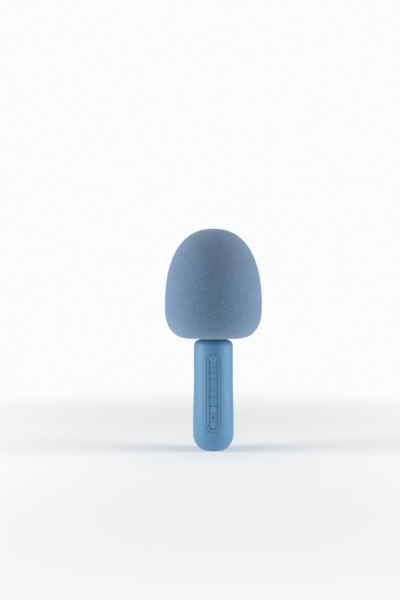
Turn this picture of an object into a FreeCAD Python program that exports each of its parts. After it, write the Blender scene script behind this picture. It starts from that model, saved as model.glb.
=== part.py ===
"""Wireless karaoke microphone with a foam-covered speaker head and a two-shell handle.

Millimetres. +Z runs up the microphone's own axis, the keys face -Y, and the origin is the centre of the
flat foot that the microphone stands on. Each sub-part is one STEP file in parts/.
"""
import FreeCAD, Part
import math
import os

V = FreeCAD.Vector

# ---------------------------------------------------------------- driving dimensions
# Handle, outside
HANDLE_HEIGHT = 109.6
GRIP_RADIUS_LOW = 20.2
GRIP_RADIUS_TOP = 19.4
FOOT_HEIGHT = 16.0
LOW_BAND_TOP = 34.0
TOP_BAND_FOOT = 66.0
FOOT_FLAT_RADIUS = 8.0
SHOULDER_RADIUS = 6.3
HANDLE_WALL = 2.2

# Head, outside
NECK_GAP = 1.2
HEAD_RADIUS = 48.4
BELLY_HEIGHT = 31.2
CROWN_HEIGHT = 78.0
BELLY_CURVE_WIDTH = 23.7
OUTLINE_POWER = 2.36
OUTLINE_SPANS = 8

# Foam cover and the cage and base under it
FOAM_THICKNESS = 5.0
FOAM_FIT = 0.15
FOAM_MOUTH_INSET = 20.9
BASE_RECESS = 0.8
CAGE_WALL = 2.0
BASE_WALL = 2.2
BASE_RIM_RISE = 23.0
CAGE_LIP = 3.0
LIP_WALL = 1.2
VENT_RADIUS = 1.3
VENT_CIRCLE_RADIUS = 4.2
# Rows of windows: where each starts and ends up the crown, its windows' width, and how many
CAGE_ROWS = ((0.12, 0.36, 9.0, 16), (0.41, 0.62, 8.5, 16), (0.67, 0.83, 6.0, 12))

# Neck
NECK_RADIUS = 12.6
NECK_WALL = 3.0
NECK_FLANGE_REACH = 3.0
NECK_FLANGE_THICKNESS = 2.2
NECK_LEDGE_THICKNESS = 1.6
NECK_KEY_WIDTH = 4.0

# Control strip, in the front shell
STRIP_WIDTH = 13.4
STRIP_LENGTH = 77.0
STRIP_TOP_DROP = 12.9
STRIP_THICKNESS = 2.55
STRIP_PAD_THICKNESS = 1.7
STRIP_PAD_MARGIN = 2.0
STRIP_RIM_WIDTH = 0.9
STRIP_RIM_PROUD = 0.2
STRIP_FLOOR_WIDTH = 8.8
STRIP_FLOOR_DEPTH = 0.45
STRIP_EDGE_WIDTH = 0.7
STRIP_EDGE_DEPTH = 0.6

# Keys: the two end keys' distances from the strip's ends, and each key's place between them
KEY_TOP_DROP = 5.1
KEY_FOOT_RISE = 7.1
KEY_PLACES = {
    "power_key": 1.0,
    "volume_up_key": 0.742,
    "volume_down_key": 0.478,
    "voice_key": 0.23,
    "music_key": 0.0,
}
LIGHT_PLACE = 0.115
LIGHT_RADIUS = 0.9
KEY_RADIUS = 3.8
KEY_PROUD = 0.15
KEY_CROWN = 0.3
KEY_EDGE = 0.35
KEY_FLANGE = 0.9
KEY_FLANGE_THICKNESS = 0.7
KEY_STEM_RADIUS = 1.6
ICON_HEIGHT = 0.25
ICON_STROKE = 0.8
ICON_RING_RADIUS = 2.75

# Main board, behind the strip, and what is on it
BOARD_DEPTH = 7.0
BOARD_THICKNESS = 1.2
BOARD_WIDTH = 20.0
BOARD_FOOT_Z = 17.5
BOARD_TOP_DROP = 14.0
BOARD_SCREW_X = 7.5
BOARD_SCREW_RISE = 15.5
BOARD_SCREW_DROP = 12.1
BOARD_POST_WALL = 1.1
SWITCH_SIDE = 5.2
SWITCH_HEIGHT = 1.4
PLUNGER_RADIUS = 1.2
PLUNGER_REACH = 0.8
PLUNGER_BURIED = 0.5
LAMP_HEIGHT = 0.7
MODULE_SIZE = (13.0, 0.8, 17.0)
SHIELD_SIZE = (10.4, 1.6, 10.0)
CHIP_SIZE = (4.0, 1.5, 5.0)
CAPACITOR_RADIUS = 2.5
CAPACITOR_LENGTH = 5.0
SOCKET_X = 5.6
HEAD_SOCKET_DROP = 7.2
BATTERY_SOCKET_DROP = 26.3
CAPACITOR_X = 6.2
CAPACITOR_BELOW_SOCKET = 5.86
SOCKET_SIZE = (6.0, 4.2, 4.6)
SOCKET_WALL = 0.6

# Charging port and its board
CHARGE_BOARD_Z = 17.8
CHARGE_BOARD_THICKNESS = 1.0
CHARGE_BOARD_WIDTH = 17.0
CHARGE_BOARD_DEPTH = 17.0
PORT_WIDTH = 8.94
PORT_HEIGHT = 3.26
PORT_LENGTH = 7.35
PORT_WALL = 0.3
PORT_BACK_WALL = 0.9
PORT_RECESS = 1.7
PORT_CUT_MARGIN = 0.75
TONGUE_WIDTH = 6.6
TONGUE_THICKNESS = 0.7
RAIL_THICKNESS = 1.3
RAIL_LENGTH = 8.0
RAIL_OVERLAP = 1.5

# Battery, a cylindrical cell
CELL_RADIUS = 9.2
CELL_LENGTH = 65.2
CELL_EDGE = 0.8
CELL_CLEARANCE = 5.5
PAD_THICKNESS = 3.5
PAD_WIDTH = 13.0
PAD_LENGTH = 46.0
RIB_THICKNESS = 1.6
RIB_INSET = 6.0
STOP_REACH = 5.5

# Speaker, a 52 mm driver that faces up
BAFFLE_DROP = 2.5
BAFFLE_THICKNESS = 2.5
SPEAKER_RIM_RADIUS = 26.0
SPEAKER_RIM_THICKNESS = 1.0
BASKET_TOP_RADIUS = 22.2
BASKET_FOOT_RADIUS = 17.4
BASKET_DEPTH = 10.5
BASKET_WALL = 0.8
BASKET_WINDOW_WIDTH = 10.0
EAR_RADIUS = 3.6
TOP_PLATE_THICKNESS = 3.0
MAGNET_THICKNESS = 8.0
MAGNET_RADIUS = 21.0
PLATE_RADIUS = 19.4
BACK_PLATE_THICKNESS = 3.0
FORMER_RADIUS = 9.95
FORMER_WALL = 0.25
WINDING_WALL = 0.3
WINDING_LENGTH = 3.4
COIL_GAP = 0.55
CONE_RADIUS = 19.0
CONE_WALL = 0.5
CONE_TRAVEL = 1.5
CAP_HEIGHT = 3.0
CAP_WALL = 0.4
SURROUND_WALL = 0.4
SPIDER_WALL = 0.3
SPIDER_WAVE = 0.5
SPIDER_WAVES = 3
SPIDER_RISE = 1.0
GASKET_THICKNESS = 1.6
TERMINAL_SIZE = (10.0, 1.2, 3.4)

# Microphone capsule, in the crown of the cage
CAPSULE_RADIUS = 4.85
CAPSULE_LENGTH = 6.6
CAPSULE_INSET = 2.0
BOOT_WALL = 2.35
BOOT_LENGTH = 10.0
CUP_WALL = 1.3
COLLAR_WALL = 1.5
COLLAR_DEPTH = 8.0
FELT_THICKNESS = 2.4

# Screws: shank radius, head radius, head height
CASE_SCREW = (1.3, 2.3, 1.9)
BOARD_SCREW = (1.0, 1.8, 1.2)
HEAD_SCREW = (1.5, 2.6, 2.0)
SPEAKER_SCREW = (1.2, 2.1, 1.5)
CASE_SCREW_SEAT_Y = 13.2
CASE_SCREW_TIP_Y = -9.0
CASE_SCREW_RISE = 11.4
CASE_SCREW_DROP = 10.2
CASE_BOSS_WALL = 1.8
BOARD_SCREW_LENGTH = 3.4
SPEAKER_SCREW_LENGTH = 5.5
POST_INSET = 14.4
POST_RADIUS = 3.9
LUG_HEIGHT = 7.0
LUG_WEB = 4.0
HEAD_SCREW_DEPTH = 4.0

# Leads
WIRE_RADIUS = 0.6
WIRE_PITCH = 2.4
LEAD_HOLE_RADIUS = 2.2
LEAD_HOLE_INSET = 11.8
LEAD_CHANNEL_RADIUS = 2.6

# Fits
SLIP = 0.15        # parts that drop into a pocket
HOLE_SLACK = 0.1   # a screw's shank in its hole
GLUE = 0.05        # a glued or pressed face
SEAM_WIDTH = 0.3   # the fine groove between the handle's shells
SEAM_DEPTH = 0.25
LAP_WALL = 0.9     # the lip that locates one shell in the other
LAP_REACH = 1.5

# ---------------------------------------------------------------- places worked out from them
LAP_TOP_Z = HANDLE_HEIGHT - SHOULDER_RADIUS - LAP_REACH

HEAD_FOOT_Z = HANDLE_HEIGHT + NECK_GAP
BELLY_Z = HEAD_FOOT_Z + BELLY_HEIGHT
TOP_Z = BELLY_Z + CROWN_HEIGHT
BELLY_FLAT_RADIUS = HEAD_RADIUS - BELLY_CURVE_WIDTH
FOAM_MOUTH_RADIUS = HEAD_RADIUS - FOAM_MOUTH_INSET
CORE_OFFSET = FOAM_THICKNESS + FOAM_FIT
BASE_RIM_Z = HEAD_FOOT_Z + BASE_RIM_RISE
POST_CIRCLE_RADIUS = HEAD_RADIUS - POST_INSET
POST_ANGLES = (45, 135, 225, 315)
NECK_BORE_RADIUS = NECK_RADIUS - NECK_WALL
NECK_LEDGE_RADIUS = NECK_BORE_RADIUS + 1.4
FLANGE_Z = HANDLE_HEIGHT - HANDLE_WALL - SLIP - NECK_FLANGE_THICKNESS
HEAD_SCREW_Z = HEAD_FOOT_Z + CORE_OFFSET + BASE_WALL + HEAD_SCREW_DEPTH

BAFFLE_Z = BELLY_Z - BAFFLE_DROP
BAFFLE_TOP_Z = BAFFLE_Z + BAFFLE_THICKNESS
RIM_TOP_Z = BAFFLE_TOP_Z + SPEAKER_RIM_THICKNESS
BASKET_FOOT_Z = BAFFLE_TOP_Z - BASKET_DEPTH
TOP_PLATE_Z = BASKET_FOOT_Z - BASKET_WALL - TOP_PLATE_THICKNESS
MAGNET_Z = TOP_PLATE_Z - MAGNET_THICKNESS
BACK_PLATE_Z = MAGNET_Z - BACK_PLATE_THICKNESS
COIL_MIDDLE_Z = TOP_PLATE_Z + TOP_PLATE_THICKNESS / 2
POLE_RADIUS = FORMER_RADIUS - COIL_GAP
FORMER_OUTER = FORMER_RADIUS + FORMER_WALL / 2
GAP_OUTER_RADIUS = FORMER_OUTER + WINDING_WALL + COIL_GAP
SPIDER_Z = BASKET_FOOT_Z + SPIDER_RISE
CONE_NECK_Z = SPIDER_Z + SPIDER_WAVE + SPIDER_WALL + CONE_TRAVEL + 2 * GLUE
CONE_RIM_Z = BAFFLE_TOP_Z
FORMER_TOP_Z = CONE_NECK_Z + 1.4
EAR_CENTRE_RADIUS = SPEAKER_RIM_RADIUS + 2.6
EAR_ANGLES = (0, 90, 180, 270)
TERMINAL_Z = BASKET_FOOT_Z + 0.4 * BASKET_DEPTH
TERMINAL_Y = BASKET_FOOT_RADIUS + 0.6 * (BASKET_TOP_RADIUS - BASKET_FOOT_RADIUS) + 0.1

BOOT_RADIUS = CAPSULE_RADIUS + BOOT_WALL
CUP_RADIUS = BOOT_RADIUS + CUP_WALL
CROWN_Z = TOP_Z - CORE_OFFSET - CAGE_WALL
CUP_TOP_Z = CROWN_Z - FELT_THICKNESS
BOOT_FOOT_Z = CUP_TOP_Z - BOOT_LENGTH
CUP_FOOT_Z = BOOT_FOOT_Z - CUP_WALL
CAPSULE_FOOT_Z = BOOT_FOOT_Z + CAPSULE_INSET

STRIP_CENTRE_Z = HANDLE_HEIGHT - STRIP_TOP_DROP - STRIP_LENGTH / 2
LOWEST_KEY_Z = STRIP_CENTRE_Z - STRIP_LENGTH / 2 + KEY_FOOT_RISE
KEY_RUN = STRIP_LENGTH - KEY_TOP_DROP - KEY_FOOT_RISE
KEY_Z = {name: LOWEST_KEY_Z + place * KEY_RUN for name, place in KEY_PLACES.items()}
LIGHT_Z = LOWEST_KEY_Z + LIGHT_PLACE * KEY_RUN
STRIP_SEAT_Y = STRIP_THICKNESS - GRIP_RADIUS_TOP
BOARD_FRONT_Y = BOARD_DEPTH - GRIP_RADIUS_TOP
BOARD_BACK_Y = BOARD_FRONT_Y + BOARD_THICKNESS
BOARD_TOP_Z = HANDLE_HEIGHT - BOARD_TOP_DROP
BOARD_SCREW_Z = (BOARD_FOOT_Z + BOARD_SCREW_RISE, BOARD_TOP_Z - BOARD_SCREW_DROP)
BOARD_SCREW_PLACES = [(side * BOARD_SCREW_X, z) for side in (-1, 1) for z in BOARD_SCREW_Z]
PLUNGER_TIP_Y = BOARD_FRONT_Y - SWITCH_HEIGHT - PLUNGER_REACH
MODULE_Z = BOARD_FOOT_Z + 20.0
CHIP_Z = BOARD_TOP_Z - 29.0
CASE_SCREW_Z = (CASE_SCREW_RISE, HANDLE_HEIGHT - CASE_SCREW_DROP)
CASE_BOSS_RADIUS = CASE_SCREW[0] + CASE_BOSS_WALL

CHARGE_TOP_Z = CHARGE_BOARD_Z + CHARGE_BOARD_THICKNESS
CHARGE_BACK_Y = math.sqrt((GRIP_RADIUS_LOW - HANDLE_WALL - SLIP) ** 2 - (CHARGE_BOARD_WIDTH / 2) ** 2)
PORT_MOUTH_Y = GRIP_RADIUS_LOW - PORT_RECESS
PORT_Z = CHARGE_TOP_Z + PORT_HEIGHT / 2
CELL_FOOT_Z = CHARGE_TOP_Z + PORT_HEIGHT + CELL_CLEARANCE
CELL_TOP_Z = CELL_FOOT_Z + CELL_LENGTH
BATTERY_SOCKET_Z = CELL_TOP_Z - BATTERY_SOCKET_DROP
SOCKETS = {
    "speaker": (-SOCKET_X, BOARD_TOP_Z - HEAD_SOCKET_DROP),
    "mic": (SOCKET_X, BOARD_TOP_Z - HEAD_SOCKET_DROP),
    "battery": (-SOCKET_X, BATTERY_SOCKET_Z),
}
CAPACITORS = (
    (-CAPACITOR_X, BATTERY_SOCKET_Z - CAPACITOR_BELOW_SOCKET),
    (CAPACITOR_X, BOARD_TOP_Z - 35.0),
    (CAPACITOR_X, BOARD_TOP_Z - 20.0),
)
CELL_CENTRE_Y = GRIP_RADIUS_TOP - HANDLE_WALL - PAD_THICKNESS - CELL_RADIUS

LEAD_HOLE_Y = HEAD_RADIUS - LEAD_HOLE_INSET
LEAD_CHANNEL_Z = (HEAD_FOOT_Z + BASE_WALL + BACK_PLATE_Z) / 2
FAR = 400.0


# ---------------------------------------------------------------- helpers
def turn(shape, degrees):
    """A copy of shape turned about the Z axis."""
    copy = shape.copy()
    copy.rotate(V(0, 0, 0), V(0, 0, 1), degrees)
    return copy


def turns(shape, angles):
    return [turn(shape, angle) for angle in angles]


def ring(outer, inner, foot, height, x=0.0, y=0.0):
    """An upright tube, or a disc where inner is 0."""
    body = Part.makeCylinder(outer, height, V(x, y, foot))
    return body.cut(Part.makeCylinder(inner, height, V(x, y, foot))) if inner else body


def rod_y(radius, y_from, y_to, x=0.0, z=0.0):
    """A round bar along Y."""
    return Part.makeCylinder(radius, y_to - y_from, V(x, y_from, z), V(0, 1, 0))


def block(x_from, x_to, y_from, y_to, z_from, z_to):
    return Part.makeBox(x_to - x_from, y_to - y_from, z_to - z_from, V(x_from, y_from, z_from))


def joined(shapes):
    """One solid from touching or crossing shapes, with seams inside faces removed."""
    body = shapes[0]
    for shape in shapes[1:]:
        body = body.fuse(shape)
    return body.removeSplitter()


def curve(centre, width, height, power):
    """A quarter of a superellipse about centre, from its end above or below centre to its side."""
    x, z = centre
    points = [V(x, 0, z + height)]
    for i in range(1, OUTLINE_SPANS):
        angle = math.pi / 2 * (1 - i / OUTLINE_SPANS)
        across, along = math.cos(angle) ** (2 / power), math.sin(angle) ** (2 / power)
        points.append(V(x + width * across, 0, z + height * along))
    points.append(V(x + width, 0, z))
    spline = Part.BSplineCurve()
    spline.interpolate(Points=points, InitialTangent=V(1, 0, 0), FinalTangent=V(0, 0, -height))
    return spline.toShape()


def line(a, b):
    return Part.makeLine(V(a[0], 0, a[1]), V(b[0], 0, b[1]))


def lathe(edges):
    """A solid turned from edges that close on themselves or on the Z axis."""
    face = Part.Face(Part.Wire(edges))
    return face.revolve(V(0, 0, 0), V(0, 0, 1), 360)


def lathe_points(points):
    closed = list(points) + [points[0]]
    return lathe([line(a, b) for a, b in zip(closed[:-1], closed[1:])])


def egg(offset):
    """The head's solid outline, moved inwards by offset."""
    foot, side, top = HEAD_FOOT_Z + offset, HEAD_RADIUS - offset, TOP_Z - offset
    flat = (BELLY_FLAT_RADIUS, BELLY_Z)
    edges = [
        line((0, foot), (BELLY_FLAT_RADIUS, foot)),
        curve(flat, side - BELLY_FLAT_RADIUS, offset - BELLY_HEIGHT, OUTLINE_POWER),
        curve((0, BELLY_Z), side, CROWN_HEIGHT - offset, OUTLINE_POWER),
        line((0, top), (0, foot)),
    ]
    return lathe(edges)


def grip(offset):
    """The handle's solid outline, moved inwards by offset."""
    low, high = GRIP_RADIUS_LOW - offset, GRIP_RADIUS_TOP - offset
    foot = (FOOT_FLAT_RADIUS, FOOT_HEIGHT)
    top, bend = HANDLE_HEIGHT - offset, SHOULDER_RADIUS - offset
    shoulder_z, flat = HANDLE_HEIGHT - SHOULDER_RADIUS, GRIP_RADIUS_TOP - SHOULDER_RADIUS
    middle = V(flat + bend * math.sqrt(0.5), 0, shoulder_z + bend * math.sqrt(0.5))
    shoulder = Part.Arc(V(high, 0, shoulder_z), middle, V(flat, 0, top)).toShape()
    edges = [
        line((0, offset), (FOOT_FLAT_RADIUS, offset)),
        curve(foot, low - FOOT_FLAT_RADIUS, offset - FOOT_HEIGHT, 2.0),
        line((low, FOOT_HEIGHT), (low, LOW_BAND_TOP)),
        line((low, LOW_BAND_TOP), (high, TOP_BAND_FOOT)),
        line((high, TOP_BAND_FOOT), (high, shoulder_z)),
        shoulder,
        line((flat, top), (0, top)),
        line((0, top), (0, offset)),
    ]
    return lathe(edges)


def grip_radius(z):
    """The handle's outside radius at a level between the foot and the shoulder."""
    share = (z - LOW_BAND_TOP) / (TOP_BAND_FOOT - LOW_BAND_TOP)
    return GRIP_RADIUS_LOW + (GRIP_RADIUS_TOP - GRIP_RADIUS_LOW) * min(1.0, max(0.0, share))


def pill(width, length, y_from, y_to):
    """An upright race-track prism along Y, centred on the control strip."""
    r, straight = width / 2, length / 2 - width / 2
    low, high = STRIP_CENTRE_Z - straight, STRIP_CENTRE_Z + straight
    edges = [
        Part.makeLine(V(-r, y_from, low), V(-r, y_from, high)),
        Part.Arc(V(-r, y_from, high), V(0, y_from, high + r), V(r, y_from, high)).toShape(),
        Part.makeLine(V(r, y_from, high), V(r, y_from, low)),
        Part.Arc(V(r, y_from, low), V(0, y_from, low - r), V(-r, y_from, low)).toShape(),
    ]
    return Part.Face(Part.Wire(edges)).extrude(V(0, y_to - y_from, 0))


def screw(size, length):
    """A pan-head screw along +Z, its head's underside at the origin and its shank below."""
    shank, head, height = size
    edge, tip = height * 0.35, shank * 0.8
    middle = V(head - edge * 0.3, 0, height - edge * 0.3)
    rounded = Part.Arc(V(head, 0, height - edge), middle, V(head - edge, 0, height))
    profile = [
        line((0, -length), (shank - tip / 2, -length)),
        line((shank - tip / 2, -length), (shank, -length + tip)),
        line((shank, -length + tip), (shank, 0)),
        line((shank, 0), (head, 0)),
        line((head, 0), (head, height - edge)),
        rounded.toShape(),
        line((head - edge, height), (0, height)),
        line((0, height), (0, -length)),
    ]
    arm, slot, deep = head * 0.6, head * 0.13, height * 0.6
    cross = block(-arm, arm, -slot, slot, height - deep, height)
    return lathe(profile).cut(turns(cross, (0, 90)))


def placed(shape, x, y, z, axis=V(0, 0, 1), degrees=0.0):
    copy = shape.copy()
    copy.rotate(V(0, 0, 0), axis, degrees)
    copy.translate(V(x, y, z))
    return copy


def tube(points, radius):
    """A round cord: straight runs through points, joined by arcs as large as the runs allow."""
    pts = [V(*p) for p in points]
    edges, start = [], pts[0]
    for before, corner, after in zip(pts[:-2], pts[1:-1], pts[2:]):
        back, ahead = (before - corner), (after - corner)
        half_turn = (math.pi - back.getAngle(ahead)) / 2
        reach = 0.45 * min(back.Length, ahead.Length)
        bend = reach / math.tan(half_turn)
        towards_back, towards_ahead = back.normalize(), ahead.normalize()
        a, b = corner + towards_back * reach, corner + towards_ahead * reach
        inward = (towards_back + towards_ahead).normalize()
        middle = corner + inward * (bend / math.cos(half_turn) - bend)
        edges.append(Part.makeLine(start, a))
        edges.append(Part.Arc(a, middle, b).toShape())
        start = b
    edges.append(Part.makeLine(start, pts[-1]))
    path = Part.Wire(edges)
    circle = Part.Wire(Part.makeCircle(radius, pts[0], pts[1] - pts[0]))
    return path.makePipeShell([circle], True, False)


def level_circles(shape):
    """The edges of a turned shape that lie in a level plane."""
    return [edge for edge in shape.Edges if edge.BoundBox.ZLength < 1e-6]


PARTS = {}


def keep(name, shape):
    """Stores a finished sub-part: a solid, or a list of separate solids."""
    PARTS[name] = Part.makeCompound(shape) if isinstance(shape, list) else shape


# ---------------------------------------------------------------- handle
def bosses(y_from, y_to):
    """The columns that the handle's screws go through, from the parting plane to the wall."""
    return [rod_y(CASE_BOSS_RADIUS, y_from, y_to, 0, z) for z in CASE_SCREW_Z]


def within_wall(pieces):
    """The pieces cut off halfway through the handle's wall."""
    return [piece.common(grip(HANDLE_WALL / 2)) for piece in pieces]


def neck_ledge(y_from, y_to):
    """The shelf under the neck's flange."""
    shelf = ring(FAR, NECK_LEDGE_RADIUS, FLANGE_Z - SLIP - NECK_LEDGE_THICKNESS, NECK_LEDGE_THICKNESS)
    return shelf.common(block(-FAR, FAR, y_from, y_to, 0, FAR))


def lap_band(outer, inner, top, y_from, y_to):
    """The band inside the wall, below the shoulder, that carries the shells' lap joint."""
    return grip(outer).cut(grip(inner)).common(block(-FAR, FAR, y_from, y_to, 0, top))


def seam_groove():
    band = grip(-1).cut(grip(SEAM_DEPTH))
    return band.common(block(-FAR, FAR, -SEAM_WIDTH / 2, SEAM_WIDTH / 2, -2, FAR))


def front_shell(skin):
    """The front half, with the strip's seat, the main board's posts and the lap's rebate."""
    half = skin.common(block(-FAR, FAR, -FAR, 0, -1, FAR))
    margin = 2 * STRIP_PAD_MARGIN
    pad_back = STRIP_SEAT_Y + STRIP_PAD_THICKNESS
    pad = pill(STRIP_WIDTH + margin, STRIP_LENGTH + margin, -FAR, pad_back)
    post_radius = BOARD_SCREW[0] + BOARD_POST_WALL
    posts = [rod_y(post_radius, -FAR, BOARD_FRONT_Y, x, z) for x, z in BOARD_SCREW_PLACES]
    body = joined([half] + within_wall([pad, neck_ledge(-FAR, 0)] + posts + bosses(-FAR, 0)))
    body = body.cut(pill(STRIP_WIDTH + 2 * SLIP, STRIP_LENGTH + 2 * SLIP, -FAR, STRIP_SEAT_Y))
    well = KEY_RADIUS + KEY_FLANGE + SLIP
    cuts = [rod_y(well, STRIP_SEAT_Y - 1, pad_back + 1, 0, z) for z in KEY_Z.values()]
    cuts.append(rod_y(LIGHT_RADIUS + SLIP, STRIP_SEAT_Y - 1, pad_back + 1, 0, LIGHT_Z))
    shank, tip = CASE_SCREW[0] + HOLE_SLACK, CASE_SCREW_TIP_Y - 0.6
    cuts += [rod_y(shank, tip, 1, 0, z) for z in CASE_SCREW_Z]
    shank, tip = BOARD_SCREW[0] + HOLE_SLACK, BOARD_BACK_Y - BOARD_SCREW_LENGTH - 0.3
    cuts += [rod_y(shank, tip, BOARD_BACK_Y, x, z) for x, z in BOARD_SCREW_PLACES]
    outer, inner = HANDLE_WALL - LAP_WALL - SLIP / 2, HANDLE_WALL + 0.5
    cuts.append(lap_band(outer, inner, LAP_TOP_Z + SLIP, -LAP_REACH - SLIP, 0))
    cuts.append(seam_groove())
    return body.cut(cuts)


def rear_shell(skin):
    """The rear half, with the lip, the cell's cradle, the charge board's rails and the port's opening."""
    half = skin.common(block(-FAR, FAR, 0, FAR, -1, FAR))
    lip = lap_band(HANDLE_WALL - LAP_WALL, HANDLE_WALL, LAP_TOP_Z, -LAP_REACH, SLIP)
    lip = lip.cut([rod_y(CASE_BOSS_RADIUS + SLIP, -FAR, 0, 0, z) for z in CASE_SCREW_Z])
    x = NECK_KEY_WIDTH / 2
    key_rib = block(-x, x, NECK_RADIUS + 4 * SLIP, FAR, FLANGE_Z - SLIP, HANDLE_HEIGHT)
    inside = within_wall([neck_ledge(0, FAR), key_rib] + bosses(0, FAR) + cradle() + rails())
    body = joined([half, lip] + inside)
    cuts = [rod_y(CASE_SCREW[0] + HOLE_SLACK, -1, FAR, 0, z) for z in CASE_SCREW_Z]
    cuts += [rod_y(CASE_SCREW[1] + SLIP, CASE_SCREW_SEAT_Y, FAR, 0, z) for z in CASE_SCREW_Z]
    margin = 2 * PORT_CUT_MARGIN
    cuts.append(stadium(PORT_WIDTH + margin, PORT_HEIGHT + margin, PORT_MOUTH_Y - 4, FAR, PORT_Z))
    x = CHARGE_BOARD_WIDTH / 2 + SLIP
    cuts.append(block(-x, x, 0, CHARGE_BACK_Y + SLIP, CHARGE_BOARD_Z, CHARGE_TOP_Z + SLIP))
    cuts.append(seam_groove())
    return body.cut(cuts)


def cradle():
    """Two ribs shaped to the cell and a stop at each of its ends."""
    ribs = []
    for z in (CELL_FOOT_Z + RIB_INSET, CELL_TOP_Z - RIB_INSET - RIB_THICKNESS):
        rib = block(-FAR, FAR, CELL_CENTRE_Y, FAR, z, z + RIB_THICKNESS)
        ribs.append(rib.cut(ring(CELL_RADIUS + 2 * GLUE, 0, z - 1, RIB_THICKNESS + 2, 0, CELL_CENTRE_Y)))
    y_from = CELL_CENTRE_Y + CELL_RADIUS - STOP_REACH
    for z in (CELL_FOOT_Z - 2 * SLIP - RIB_THICKNESS, CELL_TOP_Z + 2 * SLIP):
        ribs.append(block(-PAD_WIDTH / 2, PAD_WIDTH / 2, y_from, FAR, z, z + RIB_THICKNESS))
    return ribs


def rails():
    """Rails above and below each side of the charge board."""
    bars = []
    for side in (-1, 1):
        low, high = sorted((side * (CHARGE_BOARD_WIDTH / 2 - RAIL_OVERLAP), side * FAR))
        for z in (CHARGE_BOARD_Z - RAIL_THICKNESS, CHARGE_TOP_Z + SLIP):
            bars.append(block(low, high, CHARGE_BACK_Y - RAIL_LENGTH, FAR, z, z + RAIL_THICKNESS))
    return bars


def stadium(width, height, y_from, y_to, z):
    """A flat-lying race-track prism along Y."""
    r = height / 2
    x = width / 2 - r
    bar = block(-x, x, y_from, y_to, z - r, z + r)
    return joined([bar] + [rod_y(r, y_from, y_to, side * x, z) for side in (-1, 1)])


def handle():
    skin = grip(0).cut(grip(HANDLE_WALL))
    skin = skin.cut(ring(NECK_RADIUS + SLIP, 0, HANDLE_HEIGHT - 2 * HANDLE_WALL, FAR))
    keep("front_shell", front_shell(skin))
    keep("rear_shell", rear_shell(skin))
    one = screw(CASE_SCREW, CASE_SCREW_SEAT_Y - CASE_SCREW_TIP_Y)
    screws = [placed(one, 0, CASE_SCREW_SEAT_Y, z, V(1, 0, 0), -90) for z in CASE_SCREW_Z]
    keep("case_screws", screws)


# ---------------------------------------------------------------- control strip and keys
def icon_bar(x, z, width, height, angle=0.0, reach=3.0):
    """A raised stroke on a key: a bar along Y, width by height, turned in the face."""
    bar = block(-width / 2, width / 2, 0, reach, -height / 2, height / 2)
    bar.rotate(V(0, 0, 0), V(0, 1, 0), angle)
    bar.translate(V(x, 0, z))
    return bar


def icon_ring(x, z, radius, reach=3.0):
    outer = rod_y(radius, 0, reach, x, z)
    return outer.cut(rod_y(radius - ICON_STROKE, 0, reach, x, z))


def icon_power():
    """A ring open at its top, with a bar in the opening."""
    loop = icon_ring(0, 0, ICON_RING_RADIUS).cut(block(-0.85, 0.85, -1, 4, 0, 4))
    return [loop, icon_bar(0, 1.35, ICON_STROKE, 3.1)]


def icon_plus():
    return [icon_bar(0, 0, 3.4, ICON_STROKE), icon_bar(0, 0, ICON_STROKE, 3.4)]


def icon_minus():
    return [icon_bar(0, 0, 4.2, ICON_STROKE)]


def icon_voice():
    """A small slanted microphone inside a ring."""
    body = icon_bar(-0.42, -0.42, ICON_STROKE, 2.0, 45)
    return [icon_ring(0, 0, ICON_RING_RADIUS), rod_y(0.8, 0, 3, 0.62, 0.62), body]


def icon_music():
    """A plain quaver."""
    note = rod_y(0.85, 0, 3, -0.75, -1.3)
    stem = icon_bar(0.1 - ICON_STROKE / 2, 0.25, ICON_STROKE, 3.3)
    flag = icon_bar(0.75, 1.25, ICON_STROKE, 1.9, -50)
    return [note, stem, flag]


ICONS = {
    "power_key": icon_power,
    "volume_up_key": icon_plus,
    "volume_down_key": icon_minus,
    "voice_key": icon_voice,
    "music_key": icon_music,
}


def key(name):
    """A round key along Y: domed cap, retaining flange and a stem down to its switch."""
    face, foot, back = grip_radius(KEY_Z[name]) + KEY_PROUD, -STRIP_SEAT_Y - GLUE / 2, -PLUNGER_TIP_Y
    dome_radius = (KEY_RADIUS ** 2 + KEY_CROWN ** 2) / (2 * KEY_CROWN)
    dome_centre = V(0, 0, face - dome_radius)
    cap = ring(KEY_RADIUS, 0, foot, face - foot).common(Part.makeSphere(dome_radius, dome_centre))
    rim = [edge for edge in level_circles(cap) if edge.BoundBox.ZMin > foot + 0.1]
    cap = cap.makeFillet(KEY_EDGE, rim)
    flange = ring(KEY_RADIUS + KEY_FLANGE, 0, foot - KEY_FLANGE_THICKNESS, KEY_FLANGE_THICKNESS)
    stem = ring(KEY_STEM_RADIUS, 0, back, foot - back)
    body = joined([cap, flange, stem])
    body.rotate(V(0, 0, 0), V(1, 0, 0), 90)
    shell = Part.makeSphere(dome_radius + ICON_HEIGHT, V(0, dome_radius - face, 0))
    for stroke in ICONS[name]():
        stroke.translate(V(0, -face - ICON_HEIGHT, 0))
        body = body.fuse(stroke.common(shell).common(block(-FAR, FAR, -FAR, 1.4 - face, -FAR, FAR)))
    body = body.removeSplitter()
    body.translate(V(0, 0, KEY_Z[name]))
    return body


def strip_layer(width, depth):
    """A race-track of one width on the strip's own centre line, up to a depth below the grip."""
    length = STRIP_LENGTH - STRIP_WIDTH + width
    return pill(width, length, -FAR, STRIP_SEAT_Y).common(grip(depth))


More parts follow.
